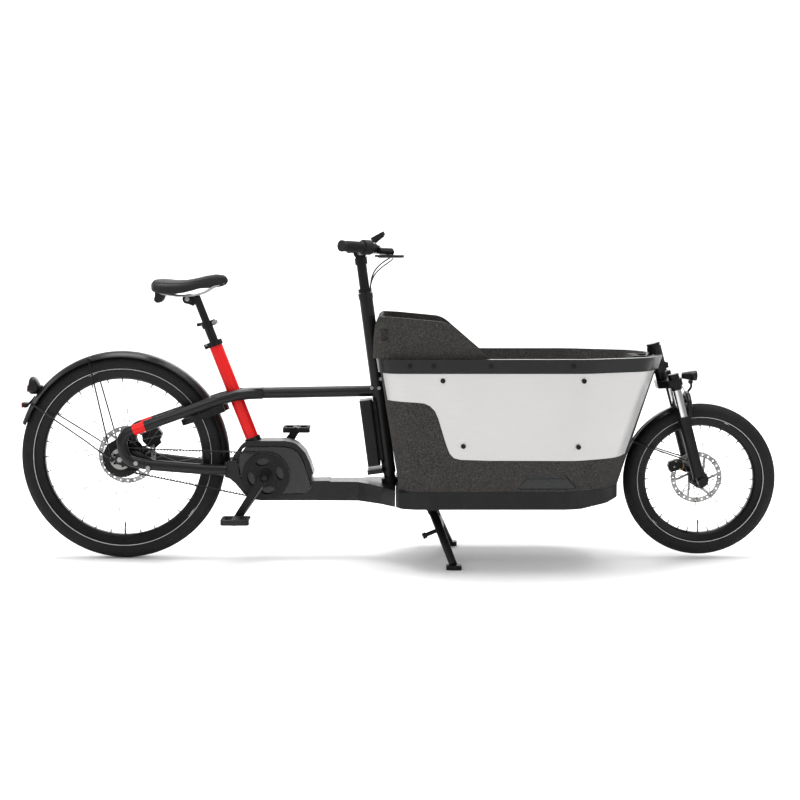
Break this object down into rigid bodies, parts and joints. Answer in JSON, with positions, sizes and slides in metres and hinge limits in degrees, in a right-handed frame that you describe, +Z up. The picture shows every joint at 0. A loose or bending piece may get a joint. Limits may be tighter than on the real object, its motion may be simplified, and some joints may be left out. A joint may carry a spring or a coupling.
{
  "type": "front-loading cargo bicycle",
  "caption": "Electric front-loading cargo bicycle with a deep foam box ahead of the handlebar column, a suspension fork, belt drive and a folding centre stand.",
  "frame": {"origin": "on the ground under the middle of the bicycle's bounding box", "axes": "+X forward, +Y to the rider's left, +Z up"},
  "size_m": [2.6257, 0.694, 1.1359],
  "materials": {
    "frame_black": "satin",
    "frame_red": "satin",
    "motor_grey": "satin",
    "motor_gloss": "gloss",
    "battery_black": "satin",
    "tray_black": "satin",
    "foam": "speckled foam",
    "insert_gloss": "gloss",
    "panel_alu": "satin",
    "rail_black": "satin black",
    "screw_black": "black",
    "fender_black": "satin",
    "lamp": "gloss",
    "part_black": "satin",
    "belt_rubber": "matte",
    "steel": "bright",
    "tyre_rubber": "matte",
    "rim_black": "satin black",
    "spoke_steel": "bright",
    "pedal_black": "matte",
    "grip_rubber": "matte",
    "chrome_tube": "polished",
    "saddle_cover": "matte",
    "hose": "matte"
  },
  "bodies": {
    "frame": {"main_frame": "frame_black", "motor_unit": "motor_grey", "motor_covers": "motor_gloss", "top_tube": "frame_black", "rear_stays": "frame_black", "seat_tube": "frame_red", "post_sleeve": "part_black", "steering_tube": "frame_black", "battery": "battery_black", "front_frame": "frame_black", "base_tray": "tray_black", "box_tub": "foam", "step_inserts": "insert_gloss", "box_backrest": "foam", "side_panels": "panel_alu", "rim_rail": "rail_black", "box_screws": "screw_black", "bench_seat": "foam", "rear_fender": "fender_black", "rear_lamp": "lamp", "ring_lock": "part_black", "rear_caliper": "part_black", "belt": "belt_rubber", "frame_hardware": "steel"},
    "rear_wheel": {"rear_tyre": "tyre_rubber", "rear_rim": "rim_black", "rear_spokes": "spoke_steel", "rear_hub": "part_black", "rear_rotor": "steel"},
    "sprocket": {"rear_sprocket": "steel"},
    "crank": {"crankset": "part_black", "front_pulley": "part_black"},
    "pedal_right": {"pedal_right": "pedal_black"},
    "pedal_left": {"pedal_left": "pedal_black"},
    "handlebar": {"stem": "part_black", "handlebar": "part_black", "grips": "grip_rubber", "display": "motor_gloss", "brake_bodies": "part_black", "brake_hoses": "hose"},
    "shifter": {"shifter": "grip_rubber"},
    "brake_lever_right": {"brake_lever_right": "part_black"},
    "brake_lever_left": {"brake_lever_left": "part_black"},
    "fork": {"fork_crown": "part_black", "stanchions": "chrome_tube"},
    "fork_lowers": {"fork_lowers": "part_black", "headlight": "lamp", "front_fender": "fender_black", "front_caliper": "part_black"},
    "front_wheel": {"front_tyre": "tyre_rubber", "front_rim": "rim_black", "front_spokes": "spoke_steel", "front_hub": "part_black", "front_rotor": "steel"},
    "kickstand": {"stand_legs": "part_black"},
    "seat": {"seatpost": "part_black", "saddle": "saddle_cover", "saddle_rails": "steel"},
    "seat_lever": {"qr_lever": "part_black"}
  },
  "joints": [
    {"name": "rear_wheel_spin", "type": "hinge", "parent": "frame", "child": "rear_wheel", "pos_m": [-0.958, 0, 0.355], "axis": [0, 1, 0], "continuous": true},
    {"name": "crank_spin", "type": "hinge", "parent": "frame", "child": "crank", "pos_m": [-0.46, 0, 0.295], "axis": [0, 1, 0], "continuous": true},
    {"name": "sprocket_spin", "type": "hinge", "parent": "frame", "child": "sprocket", "pos_m": [-0.958, -0.055, 0.355], "axis": [0, 1, 0], "continuous": true},
    {"name": "pedal_right_spin", "type": "hinge", "parent": "crank", "child": "pedal_right", "pos_m": [-0.55506, -0.138, 0.15406], "axis": [0, 1, 0], "continuous": true},
    {"name": "pedal_left_spin", "type": "hinge", "parent": "crank", "child": "pedal_left", "pos_m": [-0.36494, 0.138, 0.43594], "axis": [0, 1, 0], "continuous": true},
    {"name": "fork_steer", "type": "hinge", "parent": "frame", "child": "fork", "pos_m": [0.90396, 0, 0.66], "axis": [-0.2588, 0, 0.9659], "range_deg": [-35, 35]},
    {"name": "handlebar_steer", "type": "hinge", "parent": "frame", "child": "handlebar", "pos_m": [-0.08568, 0, 0.7], "axis": [-0.1302, 0, 0.9915], "range_deg": [-35, 35]},
    {"name": "fork_travel", "type": "slide", "parent": "fork", "child": "fork_lowers", "axis": [-0.2588, 0, 0.9659], "range_m": [0, 0.02], "stiffness_N_per_m": 9000, "springref_m": -0.008},
    {"name": "front_wheel_spin", "type": "hinge", "parent": "fork_lowers", "child": "front_wheel", "pos_m": [1.048, 0, 0.277], "axis": [0, 1, 0], "continuous": true},
    {"name": "kickstand_fold", "type": "hinge", "parent": "frame", "child": "kickstand", "pos_m": [0.116, 0, 0.178], "axis": [0, 1, 0], "range_deg": [0, 80]},
    {"name": "brake_right_pull", "type": "hinge", "parent": "handlebar", "child": "brake_lever_right", "pos_m": [-0.038, -0.192, 1.05], "axis": [0, 0, -1], "range_deg": [0, 14], "stiffness_Nm_per_rad": 3, "springref_deg": -5.73},
    {"name": "brake_left_pull", "type": "hinge", "parent": "handlebar", "child": "brake_lever_left", "pos_m": [-0.038, 0.192, 1.05], "axis": [0, 0, 1], "range_deg": [0, 14], "stiffness_Nm_per_rad": 3, "springref_deg": -5.73},
    {"name": "shifter_twist", "type": "hinge", "parent": "handlebar", "child": "shifter", "pos_m": [-0.10618, -0.24644, 1.07821], "axis": [-0.7126, -0.7007, 0.0356], "range_deg": [-60, 60]},
    {"name": "seatpost_slide", "type": "slide", "parent": "frame", "child": "seat", "axis": [-0.3584, 0, 0.9336], "range_m": [-0.05, 0.08]},
    {"name": "seat_lever_swing", "type": "hinge", "parent": "frame", "child": "seat_lever", "pos_m": [-0.63535, 0.021, 0.824], "axis": [0.3584, 0, -0.9336], "range_deg": [0, 90]}
  ],
  "couplings": [
    {"joint": "sprocket_spin", "follows": "crank_spin", "ratio": 2.0909},
    {"joint": "handlebar_steer", "follows": "fork_steer", "ratio": 1}
  ]
}
